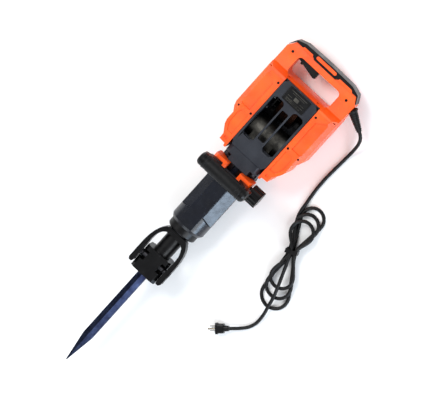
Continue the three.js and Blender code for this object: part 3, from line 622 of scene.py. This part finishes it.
def shrunk(outline, distance):
    """A closed outline moved inwards by that much; it runs anticlockwise."""
    inner = []
    for before, here, after in zip(outline[-1:] + outline[:-1], outline, outline[1:] + outline[:1]):
        came = Vector((here[0] - before[0], here[1] - before[1])).normalized()
        goes = Vector((after[0] - here[0], after[1] - here[1])).normalized()
        normal = Vector((-came.y - goes.y, came.x + goes.x))
        normal /= 1 + came.dot(goes)
        inner.append((here[0] + normal.x * distance, here[1] + normal.y * distance))
    return inner


def prism(outline, low, high, taper=0.0):
    """Vertices and faces of an outline raised from low to high, its low end smaller by taper."""
    count = len(outline)
    verts = [(x * MM, y * MM, low * MM) for x, y in shrunk(outline, taper)]
    verts += [(x * MM, y * MM, high * MM) for x, y in outline]
    faces = [tuple(reversed(range(count))), tuple(range(count, 2 * count))]
    faces += [(i, (i + 1) % count, count + (i + 1) % count, count + i) for i in range(count)]
    return verts, faces


def along_y(section, low, high):
    """A solid with that (x, z) outline from low to high along Y."""
    verts, faces = prism([(x, -z) for x, z in section], low, high)
    return [(x, z, -y) for x, y, z in verts], faces


def circle(x, y, radius, sides=24):
    turns = [2 * math.pi * i / sides for i in range(sides)]
    return [(x + radius * math.cos(a), y + radius * math.sin(a)) for a in turns]


def rectangle(x0, y0, x1, y1):
    return [(x0, y0), (x1, y0), (x1, y1), (x0, y1)]


def mirrored(outline):
    return [(-x, y) for x, y in reversed(outline)]


def moved(places, x, y):
    """Places that start with an x and a y, moved by that much."""
    return [(x + place[0], y + place[1], *place[2:]) for place in places]


def below(verts, faces):
    """The same solid on the other side of the hammer axis."""
    return [(x, y, 2 * AXIS * MM - z) for x, y, z in verts], [tuple(reversed(face)) for face in faces]


CARVED_EDGE = 0.4  # a carved node's edges are rounded this much as widely as EDGES says


def carved(name, cutters):
    """A copy of a CAD node with solids taken out of it, standing for the node."""
    node = NODES[name]
    piece = bpy.data.objects.new(name + "_carved", node.data.copy())
    bpy.context.collection.objects.link(piece)
    mesh = bmesh.new()
    mesh.from_mesh(piece.data)
    bmesh.ops.remove_doubles(mesh, verts=mesh.verts, dist=WELD)
    mesh.to_mesh(piece.data)
    mesh.free()
    tools = []
    for verts, faces in cutters:
        tools.append(mesh_object(name + "_cutter", verts, faces, FINISHES[SLOT_OF[name]]))
        cut = piece.modifiers.new("cut", "BOOLEAN")
        cut.operation = "DIFFERENCE"
        cut.solver = "EXACT"
        cut.object = tools[-1]
    bpy.context.view_layer.update()
    depsgraph = bpy.context.evaluated_depsgraph_get()
    made = bpy.data.meshes.new_from_object(piece.evaluated_get(depsgraph))
    piece.modifiers.clear()
    piece.data = made
    for tool in tools:
        bpy.data.objects.remove(tool)
    made.materials.clear()
    made.materials.append(FINISHES[SLOT_OF[name]])
    soften(piece, EDGES.get(name, EDGE) * CARVED_EDGE)
    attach(piece, BODY_OF[name])
    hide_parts(name)


# The covers: a long recess with a diagonal top, a finger groove under it, a notch and screw wells.
# Their places are from the right cover's outer side and its end towards the chisel.
COVER_LOW, COVER_HIGH = extent("right_cover")
COVER_SIDE = COVER_HIGH[X]
COVER_FACE = COVER_HIGH[Z]
COVER_CORNER = (COVER_SIDE, COVER_LOW[Y])
RECESS = [(-45, 114), (-15, 114), (-7, 126), (-7, 218), (-14, 225), (-20, 225), (-45, 207)]
GROOVE = [(-52, 36), (-34, 36), (-26, 50), (-22, 62), (-22, 94), (-28, 103), (-52, 103)]
NOTCH = rectangle(-50, 16, -39, 24)
COVER_RELIEF = ((RECESS, 3.2, 1.6), (GROOVE, 2.6, 1.4), (NOTCH, 3, 0.5))  # outline, depth, taper
COVER_WELLS = moved([(-52, 218, 3.6), (-52, 110, 3.6), (-13, 106, 3.2)], *COVER_CORNER)  # x, y, radius
WELL_DEPTH = 2.6
CUT_CLEAR = 4  # how far a cutter stands out of the cover


def cover_cutters(place):
    top = COVER_FACE + CUT_CLEAR
    cutters = []
    for outline, depth, taper in COVER_RELIEF:
        cutters.append(prism(place(moved(outline, *COVER_CORNER)), COVER_FACE - depth, top, taper))
    cutters += [prism(place(circle(*well)), COVER_FACE - WELL_DEPTH, top) for well in COVER_WELLS]
    return cutters + [below(*cutter) for cutter in cutters]


carved("right_cover", cover_cutters(lambda outline: outline))
carved("left_cover", cover_cutters(mirrored))

# The handle: screw wells at its corners, slots in the crossbar, and the covers' chamfer on its shoulders.
# Their places are from the middle of its side towards the chisel, and heights from the hammer axis.
HANDLE_LOW, HANDLE_HIGH = extent("handle_front_shell")
HANDLE_START = ((HANDLE_LOW[X] + HANDLE_HIGH[X]) / 2, HANDLE_LOW[Y])
HANDLE_WELLS = moved([(-95.5, 66.5, 4), (91.4, 67.5, 4)], *HANDLE_START)  # x, y, radius
HANDLE_SLOTS = [rectangle(-59, 12.5, -50, 15.5), rectangle(40, 12.5, 49, 15.5)]
HANDLE_FACE = AXIS + 26
HANDLE_WELL_DEPTH = 3
SLOT_FLOOR = AXIS + 34
WELL_TOP = AXIS + 60
SLOT_TOP = AXIS + 70
CHAMFER = 16
SHOULDER_CLEAR = 9
SHOULDER = [
    (COVER_SIDE - CHAMFER, COVER_FACE),
    (COVER_SIDE, COVER_FACE - CHAMFER),
    (COVER_SIDE + SHOULDER_CLEAR, COVER_FACE - CHAMFER),
    (COVER_SIDE + SHOULDER_CLEAR, COVER_FACE + SHOULDER_CLEAR),
    (COVER_SIDE - CHAMFER, COVER_FACE + SHOULDER_CLEAR),
]
SHOULDER_ENDS = (HANDLE_LOW[Y] - 12, HANDLE_LOW[Y] + 28)

wells = [prism(circle(*well), HANDLE_FACE - HANDLE_WELL_DEPTH, WELL_TOP) for well in HANDLE_WELLS]
slots = [prism(moved(outline, *HANDLE_START), SLOT_FLOOR, SLOT_TOP) for outline in HANDLE_SLOTS]
shoulders = [along_y(section[::-1], *SHOULDER_ENDS) for section in (SHOULDER, mirrored(SHOULDER))]
carved("handle_front_shell", wells + slots + shoulders)
carved("handle_back_shell", [below(*cutter) for cutter in wells + shoulders])

# ---- fittings ------------------------------------------------------------------------------------
def placed(name, solid, body, slot, edge, standing_for=()):
    """A piece made of that solid, riding on a body, with rounded edges."""
    verts, faces = solid
    piece = mesh_object(name, verts, faces, FINISHES[slot])
    soften(piece, edge)
    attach(piece, body)
    if standing_for:
        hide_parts(*standing_for)
    return piece


def turned(profile, start, along, sides=40):
    """A closed turned solid: (radius, distance) points from tip to tip, the first and last on the axis."""
    along = Vector(along).normalized()
    aside = along.orthogonal().normalized()
    third = along.cross(aside)
    rings = profile[1:-1]
    verts = []
    for radius, distance in rings:
        for i in range(sides):
            a = 2 * math.pi * i / sides
            offset = (aside * math.cos(a) + third * math.sin(a)) * radius
            verts.append((Vector(start) + along * distance + offset) * MM)
    faces = []
    for ring in range(len(rings) - 1):
        for i in range(sides):
            a, b = ring * sides + i, ring * sides + (i + 1) % sides
            faces.append((a, b, b + sides, a + sides))
    ends = [Vector(start) + along * distance for _, distance in (profile[0], profile[-1])]
    last = len(rings) - 1
    for end, ring in zip(ends, (0, last)):
        verts.append(end * MM)
        for i in range(sides):
            a, b = ring * sides + i, ring * sides + (i + 1) % sides
            faces.append((b, a, len(verts) - 1) if ring == 0 else (a, b, len(verts) - 1))
    return verts, faces


HEAD_SIDES = 18
SOCKET_SIDES = 6
SOCKET_WIDTH = 0.52  # of the head
SOCKET_DEPTH = 0.45  # of the head


def socket_screw(x, y, low, high, radius):
    """A round head from low to high with a hexagonal socket in its top."""
    outer = circle(x, y, radius, HEAD_SIDES)
    socket = circle(x, y, radius * SOCKET_WIDTH, SOCKET_SIDES)
    levels = [(outer, low), (outer, high), (socket, high), (socket, high - SOCKET_DEPTH * (high - low))]
    verts = [(px * MM, py * MM, z * MM) for ring, z in levels for px, py in ring]
    top = HEAD_SIDES
    rim = 2 * HEAD_SIDES
    bottom = rim + SOCKET_SIDES
    share = HEAD_SIDES // SOCKET_SIDES
    faces = [tuple(reversed(range(HEAD_SIDES))), tuple(range(bottom, bottom + SOCKET_SIDES))]
    for i in range(HEAD_SIDES):
        j = (i + 1) % HEAD_SIDES
        faces.append((i, j, top + j, top + i))
    for i in range(SOCKET_SIDES):
        j = (i + 1) % SOCKET_SIDES
        around = [top + (share * i + k) % HEAD_SIDES for k in range(share + 1)]
        faces.append((*around, rim + j, rim + i))
        faces.append((rim + i, rim + j, bottom + j, bottom + i))
    return verts, faces


def both_faces(name, back_name, solid, slot, edge):
    """The same fixed piece on the front and on the back."""
    placed(name, solid, "root", slot, edge)
    placed(back_name, below(*solid), "root", slot, edge)


# Screws in the wells of the covers and the handle.
SCREW_EDGE = 0.2
SCREW_PLAY = 0.5
for side, place in (("right", lambda x: x), ("left", lambda x: -x)):
    for number, (x, y, radius) in enumerate(COVER_WELLS):
        screw = socket_screw(place(x), y, COVER_FACE - 2.5, COVER_FACE - 0.9, radius - SCREW_PLAY)
        names = (f"{side}_cover_screw_{number}", f"{side}_cover_back_screw_{number}")
        both_faces(*names, screw, "trim_black", SCREW_EDGE)
for number, (x, y, radius) in enumerate(HANDLE_WELLS):
    screw = socket_screw(x, y, HANDLE_FACE - 2.9, HANDLE_FACE - 1.2, radius - SCREW_PLAY)
    both_faces(f"handle_screw_{number}", f"handle_back_screw_{number}", screw, "trim_black", SCREW_EDGE)

# The guard's front and back: a broad pad under the badge, and orange cheeks either side of it.
# Their places are from the middle of the guard's side towards the chisel.
GUARD_LOW, GUARD_HIGH = extent("handle_guard")
GUARD_START = ((GUARD_LOW[X] + GUARD_HIGH[X]) / 2, GUARD_LOW[Y])
GUARD_PAD = [(-41, 12.5), (33, 12.5), (38, 17.5), (-46, 17.5)]
GUARD_CHEEKS = [
    [(-84, 15.5), (-47, 15.5), (-50, 21.5), (-79, 21.5)],
    [(40, 15.5), (92, 15.5), (84, 22.5), (43, 22.5)],
]
guard_pad = prism(moved(GUARD_PAD, *GUARD_START), GUARD_HIGH[Z] - 7, GUARD_HIGH[Z] + 0.6)
both_faces("guard_pad", "guard_back_pad", guard_pad, "trim_black", 0.8)
for number, outline in enumerate(GUARD_CHEEKS):
    cheek = prism(moved(outline, *GUARD_START), GUARD_HIGH[Z] - 8, GUARD_HIGH[Z] + 1)
    both_faces(f"guard_cheek_{number}", f"guard_back_cheek_{number}", cheek, "housing_orange", 0.9)

# The rating plate: a raised rim and plain bars where print would be, placed from its middle.
PLATE_LOW, PLATE_HIGH = extent("nameplate")
PLATE_MIDDLE = ((PLATE_LOW[X] + PLATE_HIGH[X]) / 2, (PLATE_LOW[Y] + PLATE_HIGH[Y]) / 2)
PLATE_TOP = PLATE_HIGH[Z]
RIM = 2.4
PLATE_BARS = [
    (-26, 12.5, 26, 14.1),
    (-20, 8, 20, 9),
    (-7, -5.5, 7, 4.5),
    (-27, -10, 27, -9),
    (-27, -13, 14, -12.2),
    (-27, -15.9, 22, -15.1),
    (-27, -3.5, -13, -2.5),
    (13, -3.5, 27, -2.5),
]
inside = rectangle(PLATE_LOW[X] + RIM, PLATE_LOW[Y] + RIM, PLATE_HIGH[X] - RIM, PLATE_HIGH[Y] - RIM)
carved("nameplate", [prism(inside, PLATE_TOP - 0.6, PLATE_TOP + 3)])
for number, bar in enumerate(PLATE_BARS):
    solid = prism(moved(rectangle(*bar), *PLATE_MIDDLE), PLATE_TOP - 0.75, PLATE_TOP - 0.45)
    placed(f"plate_bar_{number}", solid, "root", "casting", 0.05)

# The strain relief: ribs that thin out towards the cord. It starts inside the handle's right side.
RELIEF_START = Vector((HANDLE_HIGH[X] - 6, HANDLE_LOW[Y] + 60, AXIS + 2))
RELIEF_RIBS = 9
RIB_START = 12
RIB_RADIUS = 12.4
THINNING = 4.6
relief_along = Vector(LEAD[0]) - RELIEF_START
relief_length = relief_along.length
ribbed = relief_length - 16
relief = [(0, 6.4), (13.6, 6.4), (14.5, 7.2), (14.5, 10), (12.6, 11.4)]
for rib in range(RELIEF_RIBS):
    start = RIB_START + ribbed * rib / RELIEF_RIBS
    pitch = ribbed / RELIEF_RIBS
    thick = RIB_RADIUS - THINNING * rib / RELIEF_RIBS
    relief += [(thick, start), (thick - 0.4, start + pitch * 0.6)]
    relief += [(thick - 1.7, start + pitch * 0.68), (thick - 1.8, start + pitch * 0.93)]
relief += [(7.2, relief_length - 3.6), (6.6, relief_length - 1), (0, relief_length - 1)]
strain_relief = placed(
    "strain_relief_ribbed",
    turned(relief, RELIEF_START, relief_along),
    "root",
    "soft_rubber",
    0.25,
    ("strain_relief",),
)

# The side grip: a soft sleeve with a collar at each end and shallow rings beside it.
GRIP_LOW, GRIP_HIGH = extent("side_grip")
GRIP_START = (GRIP_LOW[X], (GRIP_LOW[Y] + GRIP_HIGH[Y]) / 2, (GRIP_LOW[Z] + GRIP_HIGH[Z]) / 2)
GRIP_LENGTH = GRIP_HIGH[X] - GRIP_LOW[X]
GRIP_RADIUS = (GRIP_HIGH[Z] - GRIP_LOW[Z]) / 2
# (depth under the full radius, distance from the end), up to where the plain middle begins.
GRIP_END = [(1.6, 0), (0, 1.4), (0, 6), (1.2, 6.8), (1.2, 8), (0.4, 8.8), (0.4, 11), (1.2, 11.6)]
GRIP_END += [(1.2, 12.8), (0.3, 13.8), (0, 40)]
half = [(GRIP_RADIUS - depth, distance) for depth, distance in GRIP_END]
other_half = [(radius, GRIP_LENGTH - distance) for radius, distance in reversed(half)]
placed(
    "side_grip_sleeve",
    turned([(0, 0)] + half + other_half + [(0, GRIP_LENGTH)], GRIP_START, (1, 0, 0), 48),
    BODY_OF["side_grip"],
    "soft_rubber",
    0.25,
    ("side_grip",),
)
